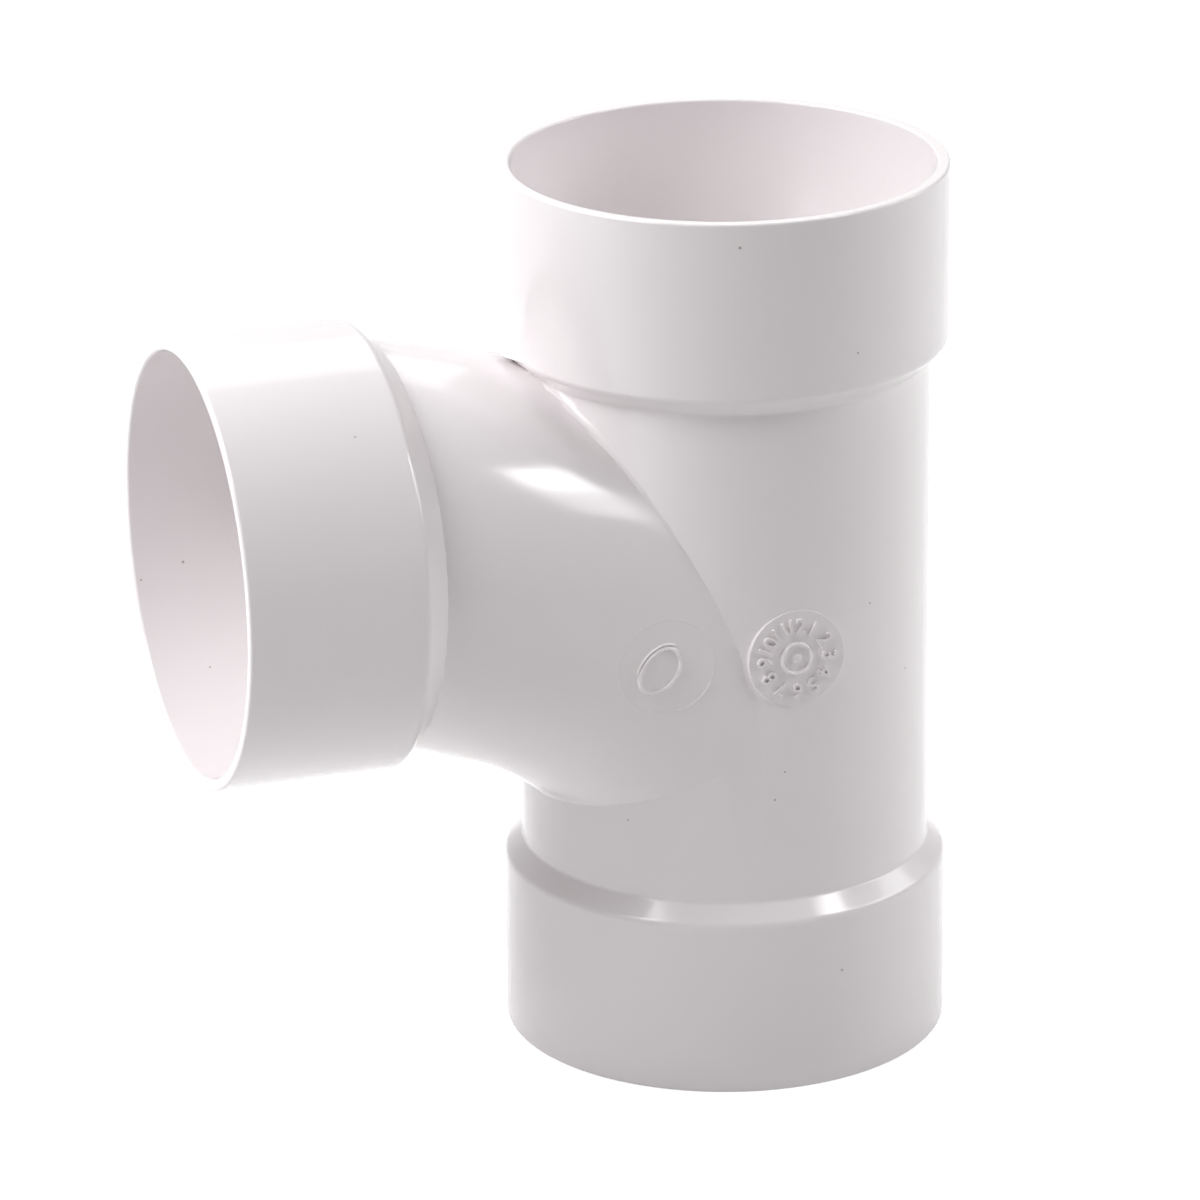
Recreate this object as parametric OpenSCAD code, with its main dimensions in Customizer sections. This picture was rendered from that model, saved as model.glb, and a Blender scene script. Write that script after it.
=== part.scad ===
// Sanitary tee for 4 inch thin wall drain pipe, moulded in one piece.
// The run stands on the Z axis with its lower rim on z = 0, and the branch points to -X.
// The branch leaves its hub on a slant, sweeps down in a wide bend and opens into the run.

/* [Pipe and sockets] */
// Outer diameter of the drain pipe that the three sockets take
pipe_d = 107.06; // [95:0.01:120]
// Gap between the pipe and the socket's wall, all round
socket_gap = 0.15; // [0.05:0.01:0.4]
// Depth of each socket, from its rim to the ledge that stops the pipe
socket_depth = 44.45; // [35:0.05:60]
// Width of the ledge that stops the pipe
stop_ledge = 3.8; // [2.8:0.1:6]

/* [Hubs] */
// Wall of the hubs, round the sockets
hub_wall = 3.2; // [2.4:0.1:5]
// How far a hub's outside runs on past the ledge before it turns in
hub_overrun = 0.2; // [0:0.1:3]
// Slope of the shoulder between a hub and the barrel, from the hub's axis
shoulder_angle = 45; // [30:1:60]
// Rounding where a hub's outside turns in to its shoulder
hub_edge_round = 2.5; // [1:0.1:4]
// Rounding where the shoulder runs out on the barrel
foot_round = 1.5; // [0.5:0.1:4]
// Rounding of both edges of each rim
lip_round = 0.7; // [0.3:0.1:1]

/* [Run] */
// Wall of the run and of the branch between the hubs
wall = 2.5; // [2:0.1:4]
// Height of plain barrel between the branch's crown and the upper ledge
crown_land = 3.1; // [1:0.1:40]
// Height of plain barrel between the branch's throat and the lower ledge
throat_land = 24.3; // [8:0.1:60]

/* [Branch] */
// Length of the branch between the run's barrel and the ledge of its socket
neck_length = 45.7; // [38:0.1:60]
// Slant at which the branch leaves its hub, below the level
neck_slant = 15; // [8:0.5:20]
// Length of the slanted neck before the bend starts
neck_straight = 27.7; // [15:0.1:34]
// How much the neck is narrower at its hub than the run's barrel, in radius
neck_inset = 2.2; // [0.5:0.1:3]
// Radius of the bend, along the middle of the branch
sweep_radius = 113; // [95:1:140]
// How much the bend is narrower than the run's barrel, in radius
sweep_inset = 0.9; // [0.3:0.1:3]

/* [Fillets] */
// Radius of the fillet where the branch's crown meets the run
crown_fillet = 3; // [1:0.1:5]
// Angle round the run, from the branch, over which that fillet fades out
crown_reach = 76; // [50:1:76]
// Radius of the fillet under the branch, where its throat meets the run
throat_fillet = 1.6; // [0.8:0.1:4]
// Angle round the run, from the branch, over which that fillet fades out
throat_reach = 66; // [30:1:70]
// Radius of the fillet between the top of the branch and the upper hub's side
heel_fillet = 5; // [2:0.1:6]
// Angle round the run, from the branch, over which that fillet fades out
heel_reach = 12; // [6:1:16]
// Radius of the fillet where the branch's hub meets its neck
neck_fillet = 1.5; // [0.5:0.1:3]

/* [Gate pad] */
// Diameter of the flat round pad on the side of the barrel
pad_d = 25.2; // [10:0.1:32]
// How far the pad stands proud of the barrel at its middle
pad_proud = 0.15; // [0.05:0.05:1]
// Outer diameter of the raised ring on the pad
pad_ring_d = 8.4; // [5:0.1:9.5]
// Width of the raised ring
pad_ring_w = 0.6; // [0.3:0.1:1.5]
// Height of the raised ring
pad_ring_h = 0.4; // [0.2:0.1:1]
// Diameter of the stub that the gate leaves at the pad's middle
gate_d = 2.4; // [1:0.1:4]
// Height of the gate stub
gate_h = 0.6; // [0.2:0.1:1.5]

/* [Hidden] */
$fn = 128;
eps = 0.01;
halving_steps = 30;

// Radii that follow from the pipe
socket_r = pipe_d / 2 + socket_gap;
hub_r = socket_r + hub_wall;
waterway_r = socket_r - stop_ledge;
barrel_r = waterway_r + wall;
sweep_r = barrel_r - sweep_inset;
neck_r = barrel_r - neck_inset;
neck_taper = sweep_r - neck_r;

// The shoulder, with both of its roundings kept within the step from hub to barrel
shoulder_step = hub_r - barrel_r;
shoulder_bulge = 1 - cos(shoulder_angle);
round_limit = 0.45 * shoulder_step / shoulder_bulge;
edge_r = min(hub_edge_round, round_limit);
foot_r = min(foot_round, round_limit);
edge_z = socket_depth + hub_overrun;
slope_step = shoulder_step - (edge_r + foot_r) * shoulder_bulge;
foot_z = edge_z + (edge_r + foot_r) * sin(shoulder_angle) + slope_step / tan(shoulder_angle);
hub_length = foot_z;

// The branch's middle line in the XZ plane, seen from the height of its hub's axis
branch_reach = barrel_r + neck_length + socket_depth;
neck_from = [-branch_reach + hub_length, 0];
neck_dir = [cos(neck_slant), -sin(neck_slant)];
neck_up = [sin(neck_slant), cos(neck_slant)];
neck_to = neck_from + neck_straight * neck_dir;
bend_c = neck_to - sweep_radius * neck_up;
bend_end = asin(min(1, -bend_c[0] / sweep_radius));

// Heights of the branch's crown and throat where they meet the barrel, from its axis
crown_rise = skin_height(-barrel_r, 0, 0, 1);
throat_drop = -skin_height(-barrel_r, 0, 0, -1);

// Heights from the lower rim
branch_z = socket_depth + throat_land + throat_drop;
overall_h = branch_z + crown_rise + crown_land + socket_depth;
pad_z = overall_h / 2;

// Steps along a fillet on the run, steps across one, and steps round the hub's fillet
fillet_sections = 26;
fillet_steps = 5;
fillet_turns = 48;
// Turn at which a fillet on the run has faded, just short of a ball with no size at 90
fillet_fade = 87;
// How far the edges of a fillet sink into the skins that they join
fillet_sink = 0.05;

// Points of an arc about c, with radius r, from angle a0 to angle a1
function arc(c, r, a0, a1, steps = 6) =
    [for (i = [0:steps]) c + r * [cos(a0 + (a1 - a0) * i / steps), sin(a0 + (a1 - a0) * i / steps)]];

// Distance from a point to the skin of the branch, with z from the height of its hub's axis
function skin_gap(x, y, z) =
    let (p = [x, z], out = p - bend_c, turn = atan2(out[0], out[1]))
    turn > neck_slant
        ? norm([norm(out) - sweep_radius, y]) - sweep_r
        : norm([(p - neck_from) * neck_up, y]) - neck_skin((p - neck_from) * neck_dir);

// Radius of the neck's skin at a length along it
function neck_skin(along) = neck_r + neck_taper * min(1, along / neck_straight);

// Height of the branch's middle line over x
function middle_height(x) =
    x < neck_to[0]
        ? (neck_from[0] - x) * tan(neck_slant)
        : bend_c[1] + sqrt(pow(sweep_radius, 2) - pow(x - bend_c[0], 2));

// Height over (x, y) at the given gap from the branch's skin, above it for side 1, below for -1
function skin_height(x, y, gap, side) =
    halve(x, y, gap, middle_height(x), middle_height(x) + side * 2 * sweep_r, halving_steps);

// Halves the stretch between a near and a far height until it closes on that gap
function halve(x, y, gap, near, far, steps) =
    let (mid = (near + far) / 2)
    steps == 0 ? mid
        : skin_gap(x, y, mid) > gap
            ? halve(x, y, gap, near, mid, steps - 1)
            : halve(x, y, gap, mid, far, steps - 1);

// Way from a point, straight to the branch's middle line
function to_middle(p) =
    let (flat = [p[0], p[2]], out = flat - bend_c, turn = atan2(out[0], out[1]),
        middle = turn > neck_slant
            ? bend_c + sweep_radius * out / norm(out)
            : neck_from + ((flat - neck_from) * neck_dir) * neck_dir)
    [middle[0], 0, middle[1]] - p;

// Section of a fillet of radius r whose ball lies at a place on the branch's skin and touches
// another face in the given direction: the arc between both, then the root below them
function fillet_section(ball, r, to_face) =
    let (to_branch = to_middle(ball) / norm(to_middle(ball)),
        spread = acos(to_face * to_branch),
        middle = (to_face + to_branch) / norm(to_face + to_branch))
    concat(
        [for (i = [0:fillet_steps])
            let (turn = spread * i / fillet_steps,
                way = (sin(spread - turn) * to_face + sin(turn) * to_branch) / sin(spread))
            ball + (r + fillet_sink) * way],
        [ball + (r / cos(spread / 2) + wall / 2) * middle]);

// Section of the fillet between a round of the run, with radius face_r, and the branch, at an
// angle round the run, above the branch for side 1 and below it for side -1
function run_section(face_r, angle, r, side) =
    let (x = -(face_r + r) * cos(angle), y = (face_r + r) * sin(angle))
    fillet_section([x, y, skin_height(x, y, r, side)], r, [cos(angle), -sin(angle), 0]);

// Section of the fillet between the branch's hub and neck at an angle round the hub's axis
function hub_section(angle, r) =
    let (flat = cos(shoulder_angle),
        out = [sin(shoulder_angle), flat * sin(angle), flat * cos(angle)],
        ball = hub_ball(angle, r, out, 0, hub_r / tan(shoulder_angle), halving_steps))
    fillet_section(ball, r, -out);

// Place of a ball that rolls down the hub's shoulder until it touches the neck, by halving the
// stretch between a near and a far step along the hub's axis
function hub_ball(angle, r, out, near, far, steps) =
    let (mid = (near + far) / 2,
        radius = hub_r - edge_r * shoulder_bulge - mid * tan(shoulder_angle),
        ball = [edge_z + edge_r * sin(shoulder_angle) + mid - branch_reach,
            radius * sin(angle), radius * cos(angle)] + r * out)
    steps == 0 ? ball
        : skin_gap(ball[0], ball[1], ball[2]) > r
            ? hub_ball(angle, r, out, mid, far, steps - 1)
            : hub_ball(angle, r, out, near, mid, steps - 1);

// Solid strip through the sections of a fillet, closed by caps or run round as a loop
module fillet_strip(sections, loop = false) {
    n = len(sections[0]);
    count = len(sections);
    last = (count - 1) * n;
    skin = [for (i = [0:count - (loop ? 1 : 2)], k = [0:n - 1])
        let (next = (i + 1) % count * n, a = i * n + k, b = i * n + (k + 1) % n)
        each [[a, b, next + (k + 1) % n], [a, next + (k + 1) % n, next + k]]];
    caps = loop ? [] : [for (k = [1:n - 2]) each [[0, k + 1, k], [last, last + k, last + k + 1]]];
    translate([0, 0, branch_z])
        polyhedron(points = [for (section = sections) each section], faces = concat(skin, caps));
}

// Fillet between a round of the run and the branch, which fades out at an angle to each side
module run_fillet(face_r, r, reach, side) {
    fillet_strip([for (i = [0:fillet_sections])
        let (turn = side * fillet_fade * (2 * i / fillet_sections - 1))
        run_section(face_r, reach * sin(turn), r * cos(turn), side)]);
}

// Fillet between the top of the branch and the upper hub, as far down as its side reaches
module heel_corner() {
    intersection() {
        run_fillet(hub_r, heel_fillet, heel_reach, 1);
        translate([0, 0, overall_h - edge_z])
            cylinder(h = edge_z, r = hub_r + 2 * heel_fillet);
    }
}

// Fillet all round the foot of the branch's hub
module hub_fillet() {
    fillet_strip(
        [for (i = [0:fillet_turns - 1]) hub_section(-360 * i / fillet_turns, neck_fillet)],
        loop = true);
}

// Outline of a hub, from its axis over the rim to the top of its shoulder
function hub_rim() = concat(
    [[0, 0]],
    arc([hub_r - lip_round, lip_round], lip_round, -90, 0),
    arc([hub_r - edge_r, edge_z], edge_r, 0, shoulder_angle));

module run_outside() {
    half = concat(hub_rim(), arc([barrel_r + foot_r, foot_z], foot_r, 180 + shoulder_angle, 180));
    rotate_extrude()
        polygon(concat(half, [for (i = [len(half) - 1:-1:0]) [half[i][0], overall_h - half[i][1]]]));
}

// The branch's hub, whose shoulder runs straight down into the neck
module branch_hub_outside() {
    root_r = neck_r - wall;
    root_z = edge_z + edge_r * sin(shoulder_angle)
        + (hub_r - edge_r * shoulder_bulge - root_r) / tan(shoulder_angle);
    translate([-branch_reach, 0, branch_z])
        rotate([0, 90, 0])
            rotate_extrude()
                polygon(concat(hub_rim(), [[root_r, root_z], [0, root_z]]));
}

// Slanted neck and bend, as one round bar whose skin lies inset below the branch's skin.
// It is drawn flat round the bend's centre, with the neck along -Y, and then stood up.
module swept_bar(inset) {
    back = (hub_length - socket_depth + neck_r * sin(neck_slant) + wall) / cos(neck_slant);
    length = back + neck_straight;
    translate([bend_c[0], 0, branch_z + bend_c[1]])
        rotate([-90, 0, 0])
            rotate([0, 0, neck_slant - 90]) {
                translate([sweep_radius, -length, 0])
                    rotate([-90, 0, 0])
                        cylinder(h = length, r1 = neck_skin(-back) - inset, r2 = sweep_r - inset);
                rotate_extrude(angle = bend_end - neck_slant)
                    translate([sweep_radius, 0])
                        circle(r = sweep_r - inset);
            }
}

// Room of one socket with its rounded mouth, open downwards at z = 0
module socket_room() {
    mouth_r = socket_r + lip_round;
    rotate_extrude()
        polygon(concat(
            [[0, -hub_wall], [mouth_r, -hub_wall]],
            arc([mouth_r, lip_round], lip_round, 270, 180),
            [[socket_r, socket_depth], [0, socket_depth]]));
}

module waterways() {
    translate([0, 0, socket_depth - wall])
        cylinder(h = overall_h - 2 * socket_depth + 2 * wall, r = waterway_r);
    swept_bar(wall);
    socket_room();
    translate([0, 0, overall_h])
        mirror([0, 0, 1])
            socket_room();
    translate([-branch_reach, 0, branch_z])
        rotate([0, 90, 0])
            socket_room();
}

// Flat round pad on the barrel, with the ring and the stub that the gate leaves
module gate_pad() {
    face = barrel_r + pad_proud;
    translate([0, 0, pad_z])
        rotate([90, 0, 0]) {
            cylinder(h = face, d = pad_d);
            difference() {
                cylinder(h = face + pad_ring_h, d = pad_ring_d);
                translate([0, 0, face])
                    cylinder(h = pad_ring_h + eps, d = pad_ring_d - 2 * pad_ring_w);
            }
            cylinder(h = face + gate_h, d = gate_d);
        }
}

module tee_body() {
    color([0.93, 0.92, 0.92])
        difference() {
            union() {
                run_outside();
                branch_hub_outside();
                swept_bar(0);
                run_fillet(barrel_r, crown_fillet, crown_reach, 1);
                run_fillet(barrel_r, throat_fillet, throat_reach, -1);
                heel_corner();
                hub_fillet();
                gate_pad();
            }
            waterways();
        }
}

tee_body();
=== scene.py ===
"""Looks of a moulded drain pipe tee: its plastic, its mould marks and a plain studio to see it in."""

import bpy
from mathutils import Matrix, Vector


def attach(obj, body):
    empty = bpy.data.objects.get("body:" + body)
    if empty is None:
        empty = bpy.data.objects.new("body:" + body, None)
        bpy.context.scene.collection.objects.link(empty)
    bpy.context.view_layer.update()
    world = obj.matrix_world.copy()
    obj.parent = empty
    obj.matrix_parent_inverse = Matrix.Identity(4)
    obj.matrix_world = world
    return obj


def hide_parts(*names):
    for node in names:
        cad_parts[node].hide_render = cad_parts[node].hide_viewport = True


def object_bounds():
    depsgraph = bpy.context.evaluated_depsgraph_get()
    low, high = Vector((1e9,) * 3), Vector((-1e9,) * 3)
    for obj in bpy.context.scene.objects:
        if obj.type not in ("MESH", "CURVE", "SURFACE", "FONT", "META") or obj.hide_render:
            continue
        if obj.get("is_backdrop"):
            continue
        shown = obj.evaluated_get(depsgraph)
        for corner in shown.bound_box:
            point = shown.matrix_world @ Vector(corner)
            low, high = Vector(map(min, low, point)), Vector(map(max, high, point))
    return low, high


bl_info = {
    "name": "Moulded Pipe Tee",
    "version": (1, 0, 0),
    "blender": (4, 5, 0),
    "location": "3D View > Sidebar > Pipe Tee",
    "description": "Dresses the packed pipe tee with its plastic, mould marks and studio",
    "category": "Add Mesh",
}

from math import atan2, cos, hypot, pi, radians, sin, tan

import bmesh
import bpy
from bpy.props import FloatProperty, FloatVectorProperty, PointerProperty
from mathutils import Matrix, Vector
from mathutils.bvhtree import BVHTree
from mathutils.kdtree import KDTree

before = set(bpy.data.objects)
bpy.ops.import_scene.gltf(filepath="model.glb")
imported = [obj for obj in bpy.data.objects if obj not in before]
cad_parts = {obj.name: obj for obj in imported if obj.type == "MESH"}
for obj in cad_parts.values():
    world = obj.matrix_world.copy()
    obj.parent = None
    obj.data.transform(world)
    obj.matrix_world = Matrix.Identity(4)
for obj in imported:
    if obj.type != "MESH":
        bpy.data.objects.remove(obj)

CAD_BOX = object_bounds()
BODY = "tee_body"
ROOT = "root"
PLASTIC = "glossy_white_plastic"
MM = 0.001

# The camera that took the photograph, in the part's own frame
CAMERA_AZIMUTH = radians(-19.055)
CAMERA_ELEVATION = radians(20.099)
CAMERA_ROLL = radians(-0.492)
CAMERA_PLACE = Vector((-0.57185, -1.55834, 0.72012))
FOCAL_LENGTH_PX = 6897.7
IMAGE_PX = 1200.0
SENSOR_MM = 36.0

# Dial numbers: their height as a share of the font's size, the bevel of their edges, how far their
# outline is drawn in, and how deep they are sunk in the pad
NUMBER_SHARE = 0.7
NUMBER_BEVEL = 0.07 * MM
NUMBER_NARROWING = 0.03 * MM
NUMBER_SUNK = 0.095 * MM

# Edges of the marks that are steeper than this angle stay sharp
SHARP_ANGLE = radians(40.0)

# Normals of the body's facets that meet at less than this angle are blended
SMOOTH_ANGLE = radians(35.0)
WELD_DISTANCE = 1e-6

# The branch's centre line in the plane y = 0, as the CAD has it: where it leaves its socket, its
# slope there, how far it runs straight, the radius of its bend, the pipe's radius at both ends,
# and how far its neck runs back into the socket's shoulder
BRANCH_START = Vector((-91.723, 139.962)) * MM
BRANCH_SLOPE = radians(15.0)
STRAIGHT_RUN = 27.7 * MM
BEND_RADIUS = 113.0 * MM
NECK_RADIUS = 50.18 * MM
SWEEP_RADIUS = 51.48 * MM
NECK_ROOT = 14.0 * MM
SKIN_GAP = 0.3 * MM
SAME_SKIN_ANGLE = radians(12.0)

# The same branch as the photograph's highlights show it: it bends and widens evenly all along
SEEN_SLOPE = radians(8.0)
SEEN_BEND_RADIUS = 122.7 * MM
SEEN_TAPER = radians(1.5)

# Places in the photograph, in its pixels across and down
FLANK_RING_PX = (660.0, 671.0)
FLANK_INSERT_PX = (666.5, 668.0)

# The plastic's skin: how dark its darker patches are, how high its waves and its grain are, and how
# wide and high the parting line is
PATCH_SHADE = 0.985
WAVE_HEIGHT = 0.02 * MM
GRAIN_HEIGHT = 0.0006 * MM
PARTING_HALF_WIDTH = 0.3 * MM
PARTING_HEIGHT = 0.03 * MM

# Specks in the plastic: their colour, their place in the photograph in pixels and their radius in mm
SPECK_COLOUR = (0.3, 0.2, 0.17, 1.0)
SPECKS = (
    ((740.0, 248.0), 0.55),
    ((858.0, 353.0), 0.4),
    ((183.0, 562.0), 0.5),
    ((141.0, 580.0), 0.4),
    ((210.0, 667.0), 0.35),
    ((355.0, 437.0), 0.35),
    ((785.0, 772.0), 0.35),
    ((775.0, 800.0), 0.4),
    ((628.0, 820.0), 0.35),
    ((842.0, 970.0), 0.45),
    ((905.0, 668.0), 0.35),
    ((870.0, 603.0), 0.35),
)

# The floor's paint, and its own light to the camera and in reflections, which makes it show white
FLOOR_PAINT = (0.78, 0.78, 0.78, 1.0)
FLOOR_GLOW = 0.6

# Studio lamps: the way to each from the tee as azimuth and elevation in degrees, its distance,
# its width and height in metres, its turn in degrees and its radiance
LAMPS = {
    "left_softbox": ((168.0, 47.0), 1.3, 0.95, 0.72, 0.0, 5.0),
    "left_front_softbox": ((-160.0, 45.0), 1.3, 0.6, 0.72, 0.0, 4.0),
    "back_softbox": ((90.0, 50.0), 1.3, 1.2, 0.7, 0.0, 1.9),
    "key_softbox": ((-36.8, 40.0), 1.4, 0.3, 0.48, -17.0, 5.5),
    "right_softbox": ((-8.0, 24.0), 1.4, 0.85, 0.5, 0.0, 3.6),
    "right_wide_softbox": ((-6.0, 27.0), 1.4, 1.5, 0.7, 0.0, 0.8),
}

# The key lamp's bright upper part, which shows in the plastic's gloss only
GLINT = ((-35.6, 45.2), 1.4, 0.27, 0.26, -17.0, 9.0)


class TeePlastic(bpy.types.PropertyGroup):
    """Colour and gloss of the moulded plastic"""

    colour: FloatVectorProperty(
        name="Plastic colour",
        description="Colour of the white plastic",
        subtype="COLOR",
        size=3,
        min=0.0,
        max=1.0,
        default=(0.948, 0.903, 0.914),
    )
    roughness: FloatProperty(
        name="Roughness", description="Roughness of the moulded skin", min=0.0, max=1.0, default=0.14
    )


class MouldMarks(bpy.types.PropertyGroup):
    """Sizes of the marks that the mould leaves on the tee"""

    number_height: FloatProperty(
        name="Number height",
        description="Height of the numbers on the date dial",
        subtype="DISTANCE",
        unit="LENGTH",
        default=3.8 * MM,
    )
    number_circle: FloatProperty(
        name="Number circle",
        description="Radius of the circle on which the dial's numbers stand",
        subtype="DISTANCE",
        unit="LENGTH",
        default=8.6 * MM,
    )
    number_relief: FloatProperty(
        name="Number relief",
        description="How far the dial's numbers stand proud",
        subtype="DISTANCE",
        unit="LENGTH",
        default=0.95 * MM,
    )
    centre_ring_radius: FloatProperty(
        name="Centre ring radius",
        description="Radius of the ring round the date dial's centre",
        subtype="DISTANCE",
        unit="LENGTH",
        default=3.9 * MM,
    )
    centre_ring_width: FloatProperty(
        name="Centre ring width",
        description="Width of the ring round the date dial's centre",
        subtype="DISTANCE",
        unit="LENGTH",
        default=1.0 * MM,
    )
    centre_dot_radius: FloatProperty(
        name="Centre dot radius",
        description="Radius of the low dome at the date dial's centre",
        subtype="DISTANCE",
        unit="LENGTH",
        default=1.5 * MM,
    )
    ring_height: FloatProperty(
        name="Flank ring height",
        description="Height of the oval ring on the branch's flank",
        subtype="DISTANCE",
        unit="LENGTH",
        default=12.8 * MM,
    )
    ring_width: FloatProperty(
        name="Flank ring width",
        description="Width of the oval ring on the branch's flank",
        subtype="DISTANCE",
        unit="LENGTH",
        default=9.2 * MM,
    )
    insert_diameter: FloatProperty(
        name="Flank insert diameter",
        description="Diameter of the faint line round the mould's insert on the flank",
        subtype="DISTANCE",
        unit="LENGTH",
        default=25.0 * MM,
    )


class StudioSizes(bpy.types.PropertyGroup):
    """Floor and light of the studio"""

    floor_radius: FloatProperty(
        name="Floor radius",
        description="Radius of the round white floor",
        subtype="DISTANCE",
        unit="LENGTH",
        default=1.4,
    )
    fill_light: FloatProperty(
        name="Fill light", description="Strength of the light from all round", min=0.0, default=0.02
    )


def plastic_settings():
    return bpy.context.scene.tee_plastic


def mark_settings():
    return bpy.context.scene.tee_marks


def studio_settings():
    return bpy.context.scene.tee_studio


def add_node(tree, kind, inputs=None, **settings):
    """A node of that kind, with values or links for its inputs."""
    node = tree.nodes.new(kind)
    for key, value in settings.items():
        setattr(node, key, value)
    for key, value in (inputs or {}).items():
        if isinstance(value, bpy.types.NodeSocket):
            tree.links.new(value, node.inputs[key])
        else:
            node.inputs[key].default_value = value
    return node


def new_material(name):
    material = bpy.data.materials.new(name)
    material.use_nodes = True
    material.node_tree.nodes.clear()
    return material


def camera_axes():
    """The camera's right, up and back directions."""
    az, el = CAMERA_AZIMUTH, CAMERA_ELEVATION
    back = Vector((sin(az) * cos(el), -cos(az) * cos(el), sin(el)))
    level = (-back).cross(Vector((0, 0, 1))).normalized()
    upright = level.cross(-back)
    right = cos(CAMERA_ROLL) * level + sin(CAMERA_ROLL) * upright
    return right, back.cross(right), back


def cad_skin():
    """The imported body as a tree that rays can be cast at."""
    bm = bmesh.new()
    bm.from_mesh(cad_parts[BODY].data)
    tree = BVHTree.FromBMesh(bm)
    bm.free()
    return tree


def skin_at(skin, pixel):
    """Place and normal on the skin that a pixel of the photograph shows."""
    right, up, back = camera_axes()
    across, down = (value - IMAGE_PX / 2 for value in pixel)
    way = (across * right - down * up) / FOCAL_LENGTH_PX - back
    place, normal, _, _ = skin.ray_cast(CAMERA_PLACE, way.normalized())
    if place is None:
        raise RuntimeError(f"no part of the tee lies at pixel {pixel}")
    return place, normal


def upright_frame(place, normal):
    """Matrix from a flat mark, with Y up and Z outwards, to its place on the skin."""
    across = Vector((0, 0, 1)).cross(normal).normalized()
    up = normal.cross(across)
    turn = Matrix((across, up, normal)).transposed().to_4x4()
    return Matrix.Translation(place) @ turn


def speck_group():
    """Mask of one round speck at a place."""
    group = bpy.data.node_groups.new("speck", "ShaderNodeTree")
    for name, kind in (("Place", "NodeSocketVector"), ("Radius", "NodeSocketFloat")):
        group.interface.new_socket(name, in_out="INPUT", socket_type=kind)
    group.interface.new_socket("Mask", in_out="OUTPUT", socket_type="NodeSocketFloat")
    given = add_node(group, "NodeGroupInput")
    here = add_node(group, "ShaderNodeTexCoord")
    gap = add_node(
        group,
        "ShaderNodeVectorMath",
        {0: here.outputs["Object"], 1: given.outputs["Place"]},
        operation="DISTANCE",
    )
    mask = add_node(
        group,
        "ShaderNodeMapRange",
        {
            "Value": gap.outputs["Value"],
            "From Min": given.outputs["Radius"],
            "From Max": 0.0,
        },
    )
    add_node(group, "NodeGroupOutput", {"Mask": mask.outputs[0]})
    return group


def all_specks(tree, skin):
    """Mask of all specks together."""
    group = speck_group()
    total = None
    for pixel, radius in SPECKS:
        place, _ = skin_at(skin, pixel)
        speck = add_node(tree, "ShaderNodeGroup", node_tree=group)
        speck.inputs["Place"].default_value = place
        speck.inputs["Radius"].default_value = radius * MM
        if total is None:
            total = speck.outputs["Mask"]
        else:
            both = add_node(
                tree, "ShaderNodeMath", {0: total, 1: speck.outputs["Mask"]}, operation="MAXIMUM"
            )
            total = both.outputs[0]
    return total


def parting_line(tree, place):
    """Height of the fine ridge that the mould leaves where its halves meet, in the plane y = 0."""
    split = add_node(tree, "ShaderNodeSeparateXYZ", {0: place})
    aside = add_node(tree, "ShaderNodeMath", {0: split.outputs["Y"]}, operation="ABSOLUTE")
    ridge = add_node(
        tree,
        "ShaderNodeMapRange",
        {"Value": aside.outputs[0], "From Min": PARTING_HALF_WIDTH, "From Max": 0.0},
    )
    return ridge.outputs[0]


def plastic_material():
    """Glossy white plastic with slow waves and shades, the mould's parting line and a few specks."""
    if PLASTIC in bpy.data.materials:
        return bpy.data.materials[PLASTIC]
    settings = plastic_settings()
    material = new_material(PLASTIC)
    tree = material.node_tree
    place = add_node(tree, "ShaderNodeTexCoord").outputs["Object"]
    clouds = add_node(
        tree,
        "ShaderNodeTexNoise",
        {"Vector": place, "Scale": 22.0, "Detail": 3.0, "Roughness": 0.5},
    )
    waves = add_node(
        tree,
        "ShaderNodeTexNoise",
        {"Vector": place, "Scale": 45.0, "Detail": 1.0, "Roughness": 0.4},
    )
    grain = add_node(
        tree,
        "ShaderNodeTexNoise",
        {"Vector": place, "Scale": 1400.0, "Detail": 2.0, "Roughness": 0.5},
    )
    shade = add_node(
        tree,
        "ShaderNodeMapRange",
        {"Value": clouds.outputs[0], "From Min": 0.3, "From Max": 0.7},
    )
    colour = add_node(
        tree,
        "ShaderNodeMix",
        {
            0: shade.outputs[0],
            6: (*settings.colour, 1.0),
            7: (*(value * PATCH_SHADE for value in settings.colour), 1.0),
        },
        data_type="RGBA",
    ).outputs[2]
    gloss = add_node(
        tree,
        "ShaderNodeMapRange",
        {
            "Value": waves.outputs[0],
            "From Min": 0.3,
            "From Max": 0.7,
            "To Min": settings.roughness * 0.9,
            "To Max": settings.roughness * 1.15,
        },
    )
    swell = add_node(
        tree,
        "ShaderNodeBump",
        {"Height": waves.outputs[0], "Distance": WAVE_HEIGHT, "Strength": 0.6},
    )
    fine = add_node(
        tree,
        "ShaderNodeBump",
        {
            "Height": grain.outputs[0],
            "Distance": GRAIN_HEIGHT,
            "Strength": 0.5,
            "Normal": swell.outputs[0],
        },
    )
    seam = add_node(
        tree,
        "ShaderNodeBump",
        {
            "Height": parting_line(tree, place),
            "Distance": PARTING_HEIGHT,
            "Strength": 0.6,
            "Normal": fine.outputs[0],
        },
    )
    speckled = add_node(
        tree,
        "ShaderNodeMix",
        {0: all_specks(tree, cad_skin()), 6: colour, 7: SPECK_COLOUR},
        data_type="RGBA",
    )
    shader = add_node(
        tree,
        "ShaderNodeBsdfPrincipled",
        {
            "Base Color": speckled.outputs[2],
            "Roughness": gloss.outputs[0],
            "IOR": 1.53,
            "Normal": seam.outputs[0],
        },
    )
    add_node(tree, "ShaderNodeOutputMaterial", {"Surface": shader.outputs["BSDF"]})
    return material


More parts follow.
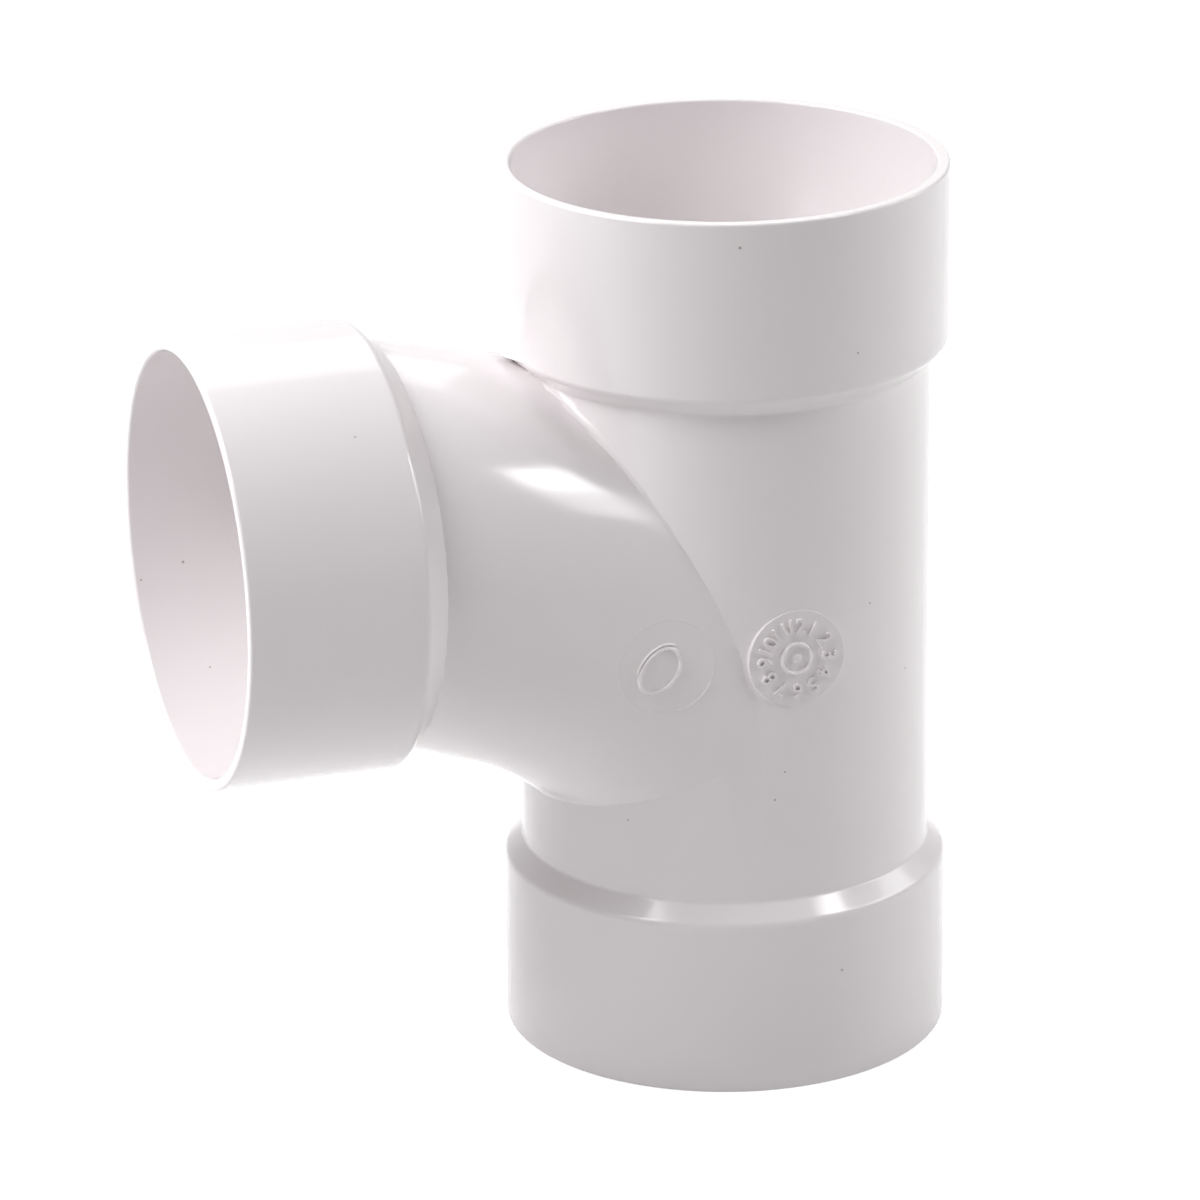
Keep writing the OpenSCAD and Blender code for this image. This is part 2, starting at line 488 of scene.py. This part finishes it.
def blended_normals(mesh):
    """Each corner's normal, blended with those of the corners at its place that nearly agree.

    On the branch's skin it is the normal that the photograph shows.
    """
    corners = mesh.loops
    normals = [Vector(item.vector) for item in mesh.corner_normals]
    weights = [0.0] * len(corners)
    facets = [None] * len(corners)
    for face in mesh.polygons:
        for corner in face.loop_indices:
            weights[corner] = face.area
            facets[corner] = face.normal
    places = KDTree(len(corners))
    for corner in corners:
        places.insert(mesh.vertices[corner.vertex_index].co, corner.index)
    places.balance()
    limit = cos(SMOOTH_ANGLE)
    blended = []
    for corner in corners:
        own = normals[corner.index]
        place = mesh.vertices[corner.vertex_index].co
        total = Vector()
        for _, other, _ in places.find_range(place, WELD_DISTANCE):
            if own.dot(normals[other]) > limit:
                total += normals[other] * weights[other]
        facing = total.normalized() if total.length > 0 else own
        blended.append(seen_normal(place, facing, facets[corner.index]))
    return blended


def branch_place(place):
    """Way along the branch, centre of its section there and its slope, for a place on its skin."""
    flat = Vector((place.x, place.z))
    forward = Vector((cos(BRANCH_SLOPE), -sin(BRANCH_SLOPE)))
    upward = Vector((sin(BRANCH_SLOPE), cos(BRANCH_SLOPE)))
    centre = BRANCH_START + forward * STRAIGHT_RUN - upward * BEND_RADIUS
    arm = flat - centre
    slope = atan2(arm.x, arm.y)
    if slope > BRANCH_SLOPE:
        along = STRAIGHT_RUN + (slope - BRANCH_SLOPE) * BEND_RADIUS
        middle = centre + arm.normalized() * BEND_RADIUS
        return along, middle, slope
    along = (flat - BRANCH_START).dot(forward)
    return along, BRANCH_START + forward * along, BRANCH_SLOPE


def branch_normal(slope, over, aside, taper):
    """Normal of the branch's skin at a place over and aside of the middle of a section of that slope."""
    forward = Vector((cos(slope), 0, -sin(slope)))
    upward = Vector((sin(slope), 0, cos(slope)))
    outward = (upward * over + Vector((0, aside, 0))).normalized()
    return (outward - tan(taper) * forward).normalized()


def seen_normal(place, normal, facet):
    """The normal at a place, turned as the photograph shows it where the place is on the branch.

    At the neck's root the facet decides, because the blended normal leans towards the shoulder's.
    """
    along, middle, slope = branch_place(place)
    over = (Vector((place.x, place.z)) - middle).dot(Vector((sin(slope), cos(slope))))
    share = min(1.0, along / STRAIGHT_RUN)
    widening = SWEEP_RADIUS - NECK_RADIUS
    gap = hypot(over, place.y) - (NECK_RADIUS + widening * share)
    taper = atan2(widening, STRAIGHT_RUN) if along < STRAIGHT_RUN else 0.0
    own = branch_normal(slope, over, place.y, taper)
    judged = facet if along < 0 else normal
    if along < -NECK_ROOT or abs(gap) > SKIN_GAP or own.dot(judged) < cos(SAME_SKIN_ANGLE):
        return normal
    lean = SEEN_SLOPE + along / SEEN_BEND_RADIUS
    return branch_normal(lean, over, place.y, SEEN_TAPER)


def smooth_copy(source, name):
    """Joined copy of a CAD node's loose triangles, with the facets of its fillets shaded smooth."""
    mesh = source.data.copy()
    mesh.name = name
    normals = blended_normals(mesh)
    bm = bmesh.new()
    bm.from_mesh(mesh)
    facing = bm.loops.layers.float_vector.new("facing")
    for face in bm.faces:
        for corner in face.loops:
            corner[facing] = normals[corner.index]
    bmesh.ops.remove_doubles(bm, verts=bm.verts, dist=WELD_DISTANCE)
    bm.to_mesh(mesh)
    bm.free()
    kept = [item.vector.copy() for item in mesh.attributes["facing"].data]
    mesh.attributes.remove(mesh.attributes["facing"])
    mesh.shade_smooth()
    mesh.normals_split_custom_set(kept)
    copy = bpy.data.objects.new(name, mesh)
    bpy.context.scene.collection.objects.link(copy)
    return copy


def add_piece(name, bm):
    """Plastic relief on the moulded body, made of that bmesh, with its place in its mesh."""
    mesh = bpy.data.meshes.new(name)
    bmesh.ops.recalc_face_normals(bm, faces=bm.faces)
    bm.to_mesh(mesh)
    bm.free()
    mesh.shade_smooth()
    mesh.set_sharp_from_angle(angle=SHARP_ANGLE)
    piece = bpy.data.objects.new(name, mesh)
    bpy.context.scene.collection.objects.link(piece)
    mesh.materials.append(plastic_material())
    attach(piece, ROOT)
    return piece


def lay_on_skin(bm, skin, placing, reach=12.0 * MM):
    """Moves a flat mark on to the skin, each point at its own height above it."""
    outward = (placing.to_3x3() @ Vector((0, 0, 1))).normalized()
    for vertex in bm.verts:
        height = vertex.co.z
        start = placing @ Vector((vertex.co.x, vertex.co.y, reach))
        place, _, _, _ = skin.ray_cast(start, -outward, 2 * reach)
        if place is None:
            raise RuntimeError("a mark hangs over the edge of the tee")
        vertex.co = place + outward * height


def arc_ridge(bm, radius, width, height, start, sweep, steps):
    """Flat ridge of round section along an arc, in the XY plane, from its start through its sweep."""
    section = bmesh.ops.create_circle(bm, cap_ends=False, segments=10, radius=0.5)["verts"]
    shape = (
        Matrix.Rotation(start, 4, "Z")
        @ Matrix.Translation((radius, 0, 0))
        @ Matrix.Diagonal((width, 1, 2 * height, 1))
        @ Matrix.Rotation(radians(90), 4, "X")
    )
    bmesh.ops.transform(bm, matrix=shape, verts=section)
    edges = list({edge for vertex in section for edge in vertex.link_edges})
    closed = abs(sweep) > 2 * pi - 1e-6
    made = bmesh.ops.spin(
        bm,
        geom=[*section, *edges],
        cent=(0, 0, 0),
        axis=(0, 0, 1),
        angle=sweep,
        steps=steps,
        use_merge=closed,
    )
    if not closed:
        last = [item for item in made["geom_last"] if isinstance(item, bmesh.types.BMEdge)]
        bmesh.ops.edgeloop_fill(bm, edges=edges)
        bmesh.ops.edgeloop_fill(bm, edges=last)


class TEE_OT_body(bpy.types.Operator):
    """Show the moulded body with its facets shaded smooth and its glossy plastic"""

    bl_idname = "tee.body"
    bl_label = "Moulded body"

    def execute(self, context):
        body = smooth_copy(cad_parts[BODY], "moulded_body")
        body.data.materials.clear()
        body.data.materials.append(plastic_material())
        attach(body, ROOT)
        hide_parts(BODY)
        return {"FINISHED"}


def number_mesh(number, height, relief):
    """Raised number as a bmesh, flat on the XY plane and centred on the origin."""
    curve = bpy.data.curves.new("number", "FONT")
    curve.body = str(number)
    curve.size = height / NUMBER_SHARE
    curve.extrude = relief / 2
    curve.bevel_depth = NUMBER_BEVEL
    curve.offset = -NUMBER_NARROWING
    curve.resolution_u = 4
    holder = bpy.data.objects.new("number", curve)
    mesh = bpy.data.meshes.new_from_object(holder)
    bpy.data.objects.remove(holder)
    bpy.data.curves.remove(curve)
    bm = bmesh.new()
    bm.from_mesh(mesh)
    bpy.data.meshes.remove(mesh)
    bmesh.ops.remove_doubles(bm, verts=bm.verts, dist=WELD_DISTANCE)
    low = Vector([min(vertex.co[axis] for vertex in bm.verts) for axis in range(3)])
    high = Vector([max(vertex.co[axis] for vertex in bm.verts) for axis in range(3)])
    bmesh.ops.translate(bm, verts=bm.verts, vec=-(low + high) / 2)
    return bm


class TEE_OT_date_dial(bpy.types.Operator):
    """Raise the twelve plain numbers and the centre of the mould's date dial on the flat pad"""

    bl_idname = "tee.date_dial"
    bl_label = "Date dial"

    def execute(self, context):
        settings = mark_settings()
        skin = cad_skin()
        low, high = CAD_BOX
        level = (low.z + high.z) / 2
        inward = Vector((0, 1, 0))
        beside_ring = 6.5 * MM
        start = Vector((beside_ring, 2 * low.y, level))
        face, _, _, _ = skin.ray_cast(start, inward)
        if face is None:
            raise RuntimeError("the date dial has no pad to stand on")
        placing = upright_frame(Vector((0, face.y, level)), -inward)
        dial = bmesh.new()
        middle_height = settings.number_relief / 2 - NUMBER_SUNK
        for number in range(1, 13):
            part = number_mesh(number, settings.number_height, settings.number_relief)
            turn = (
                Matrix.Rotation(radians(-30.0 * number), 4, "Z")
                @ Matrix.Translation((0, settings.number_circle, middle_height))
            )
            bmesh.ops.transform(part, matrix=placing @ turn, verts=part.verts)
            mesh = bpy.data.meshes.new("number")
            part.to_mesh(mesh)
            part.free()
            dial.from_mesh(mesh)
            bpy.data.meshes.remove(mesh)
        add_piece("date_dial_numbers", dial)

        centre = bmesh.new()
        width = settings.centre_ring_width
        arc_ridge(centre, settings.centre_ring_radius, width, settings.number_relief, 0.0, 2 * pi, 48)
        flat_dome = Matrix.Diagonal((1, 1, 0.65, 1))
        bmesh.ops.create_uvsphere(
            centre, u_segments=24, v_segments=12, radius=settings.centre_dot_radius, matrix=flat_dome
        )
        bmesh.ops.transform(centre, matrix=placing, verts=centre.verts)
        add_piece("date_dial_centre", centre)
        return {"FINISHED"}


class TEE_OT_flank_marks(bpy.types.Operator):
    """Raise the oval ring and the faint line of the mould's insert on the branch's flank"""

    bl_idname = "tee.flank_marks"
    bl_label = "Flank marks"

    def execute(self, context):
        settings = mark_settings()
        skin = cad_skin()
        placing = upright_frame(*skin_at(skin, FLANK_RING_PX))
        ring = bmesh.new()
        radius = settings.ring_height / 2
        bead_width, bead_height = 1.2 * MM, 0.7 * MM
        arc_ridge(ring, radius, bead_width, bead_height, 0.0, 2 * pi, 72)
        flash_gap, flash_width, flash_height = 1.1 * MM, 0.7 * MM, 0.5 * MM
        flash_start, flash_sweep = radians(95), radians(110)
        arc_ridge(ring, radius + flash_gap, flash_width, flash_height, flash_start, flash_sweep, 28)
        lean = Matrix.Rotation(radians(-35), 4, "Z")
        oval = lean @ Matrix.Diagonal((settings.ring_width / settings.ring_height, 1, 1, 1))
        bmesh.ops.transform(ring, matrix=oval, verts=ring.verts)
        lay_on_skin(ring, skin, placing)
        add_piece("flank_ring", ring)

        placing = upright_frame(*skin_at(skin, FLANK_INSERT_PX))
        line = bmesh.new()
        radius = settings.insert_diameter / 2
        line_width, line_height = 0.6 * MM, 0.1 * MM
        arc_ridge(line, radius, line_width, line_height, 0.0, 2 * pi, 96)
        bold_shift, bold_width, bold_height = 0.1 * MM, 0.5 * MM, 0.3 * MM
        bold_start, bold_sweep = radians(-75), radians(50)
        arc_ridge(line, radius + bold_shift, bold_width, bold_height, bold_start, bold_sweep, 24)
        lay_on_skin(line, skin, placing)
        add_piece("flank_insert_line", line)
        return {"FINISHED"}


def seen_share(tree):
    """1 where the camera, a reflection or a view through glass looks, and 0 for other light."""
    path = add_node(tree, "ShaderNodeLightPath")
    direct = add_node(
        tree,
        "ShaderNodeMath",
        {0: path.outputs["Is Camera Ray"], 1: path.outputs["Is Glossy Ray"]},
        operation="MAXIMUM",
    )
    seen = add_node(
        tree,
        "ShaderNodeMath",
        {0: direct.outputs[0], 1: path.outputs["Is Transmission Ray"]},
        operation="MAXIMUM",
    )
    return seen.outputs[0]


def floor_material():
    """White floor that shows white in the picture but still takes the tee's shadow."""
    material = new_material("white_floor")
    tree = material.node_tree
    paint = add_node(tree, "ShaderNodeBsdfDiffuse", {"Color": FLOOR_PAINT})
    share = add_node(
        tree, "ShaderNodeMath", {0: seen_share(tree), 1: FLOOR_GLOW}, operation="MULTIPLY"
    )
    glow = add_node(
        tree,
        "ShaderNodeEmission",
        {"Color": (1.0, 1.0, 1.0, 1.0), "Strength": share.outputs[0]},
    )
    both = add_node(tree, "ShaderNodeAddShader", {0: paint.outputs[0], 1: glow.outputs[0]})
    add_node(tree, "ShaderNodeOutputMaterial", {"Surface": both.outputs[0]})
    return material


def make_floor():
    bm = bmesh.new()
    bmesh.ops.create_circle(
        bm, cap_ends=True, segments=96, radius=studio_settings().floor_radius
    )
    mesh = bpy.data.meshes.new("floor")
    bm.to_mesh(mesh)
    bm.free()
    floor = bpy.data.objects.new("floor", mesh)
    bpy.context.scene.collection.objects.link(floor)
    floor.data.materials.append(floor_material())
    floor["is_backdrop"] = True


def make_world():
    """White behind the tee, and an even fill light from all round."""
    world = bpy.data.worlds.new("white_studio")
    bpy.context.scene.world = world
    world.use_nodes = True
    tree = world.node_tree
    tree.nodes.clear()
    strength = add_node(
        tree,
        "ShaderNodeMapRange",
        {"Value": seen_share(tree), "To Min": studio_settings().fill_light, "To Max": 1.0},
    )
    light = add_node(
        tree,
        "ShaderNodeBackground",
        {"Color": (1.0, 1.0, 1.0, 1.0), "Strength": strength.outputs[0]},
    )
    add_node(tree, "ShaderNodeOutputWorld", {"Surface": light.outputs[0]})


def direction(azimuth, elevation):
    """Unit vector at that azimuth from +X and elevation, in degrees."""
    az, el = radians(azimuth), radians(elevation)
    return Vector((cos(az) * cos(el), sin(az) * cos(el), sin(el)))


def softbox(name, way, distance, width, height, turn, radiance):
    """Rectangular lamp that looks at the tee's middle."""
    data = bpy.data.lights.new(name, "AREA")
    data.shape = "RECTANGLE"
    data.size = width
    data.size_y = height
    data.energy = radiance * pi * width * height
    lamp = bpy.data.objects.new(name, data)
    out = direction(*way)
    facing = out.to_track_quat("Z", "Y").to_matrix().to_4x4() @ Matrix.Rotation(radians(turn), 4, "Z")
    middle = (CAD_BOX[0] + CAD_BOX[1]) / 2
    lamp.matrix_world = Matrix.Translation(middle + out * distance) @ facing
    bpy.context.scene.collection.objects.link(lamp)
    return lamp


def make_lamps():
    for name, sizes in LAMPS.items():
        softbox(name, *sizes)
    softbox("key_glint", *GLINT).visible_diffuse = False


def make_camera():
    """Camera at the photograph's place, which looks along its fitted direction."""
    data = bpy.data.cameras.new("camera")
    data.sensor_width = SENSOR_MM
    data.lens = FOCAL_LENGTH_PX / IMAGE_PX * SENSOR_MM
    camera = bpy.data.objects.new("camera", data)
    turn = Matrix(camera_axes()).transposed().to_4x4()
    camera.matrix_world = Matrix.Translation(CAMERA_PLACE) @ turn
    bpy.context.scene.collection.objects.link(camera)
    bpy.context.scene.camera = camera


class TEE_OT_studio(bpy.types.Operator):
    """Set up the white floor, the lamps and the camera"""

    bl_idname = "tee.studio"
    bl_label = "Studio"

    def execute(self, context):
        context.scene.view_settings.view_transform = "Standard"
        make_floor()
        make_world()
        make_lamps()
        make_camera()
        return {"FINISHED"}


class TEE_PT_panel(bpy.types.Panel):
    """Sizes, colours and steps of the pipe tee"""

    bl_idname = "TEE_PT_panel"
    bl_label = "Pipe Tee"
    bl_space_type = "VIEW_3D"
    bl_region_type = "UI"
    bl_category = "Pipe Tee"

    def draw(self, context):
        for group in GROUPS:
            settings = getattr(context.scene, group)
            box = self.layout.box()
            for key in settings.bl_rna.properties.keys():
                if key not in {"rna_type", "name"}:
                    box.prop(settings, key)
        for operator in OPERATORS:
            self.layout.operator(operator.bl_idname)


OPERATORS = (TEE_OT_body, TEE_OT_date_dial, TEE_OT_flank_marks, TEE_OT_studio)
GROUPS = {"tee_plastic": TeePlastic, "tee_marks": MouldMarks, "tee_studio": StudioSizes}


def register():
    for cls in (*GROUPS.values(), *OPERATORS, TEE_PT_panel):
        bpy.utils.register_class(cls)
    for name, group in GROUPS.items():
        setattr(bpy.types.Scene, name, PointerProperty(type=group))


def unregister():
    for name in GROUPS:
        delattr(bpy.types.Scene, name)
    for cls in (TEE_PT_panel, *reversed(OPERATORS), *reversed(GROUPS.values())):
        bpy.utils.unregister_class(cls)


def main():
    register()
    bpy.ops.tee.body()
    bpy.ops.tee.date_dial()
    bpy.ops.tee.flank_marks()
    bpy.ops.tee.studio()
    boxes = {"cad": CAD_BOX, "visual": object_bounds()}
    {key: [list(corner) for corner in box] for key, box in boxes.items()}


if __name__ == "__main__":
    main()
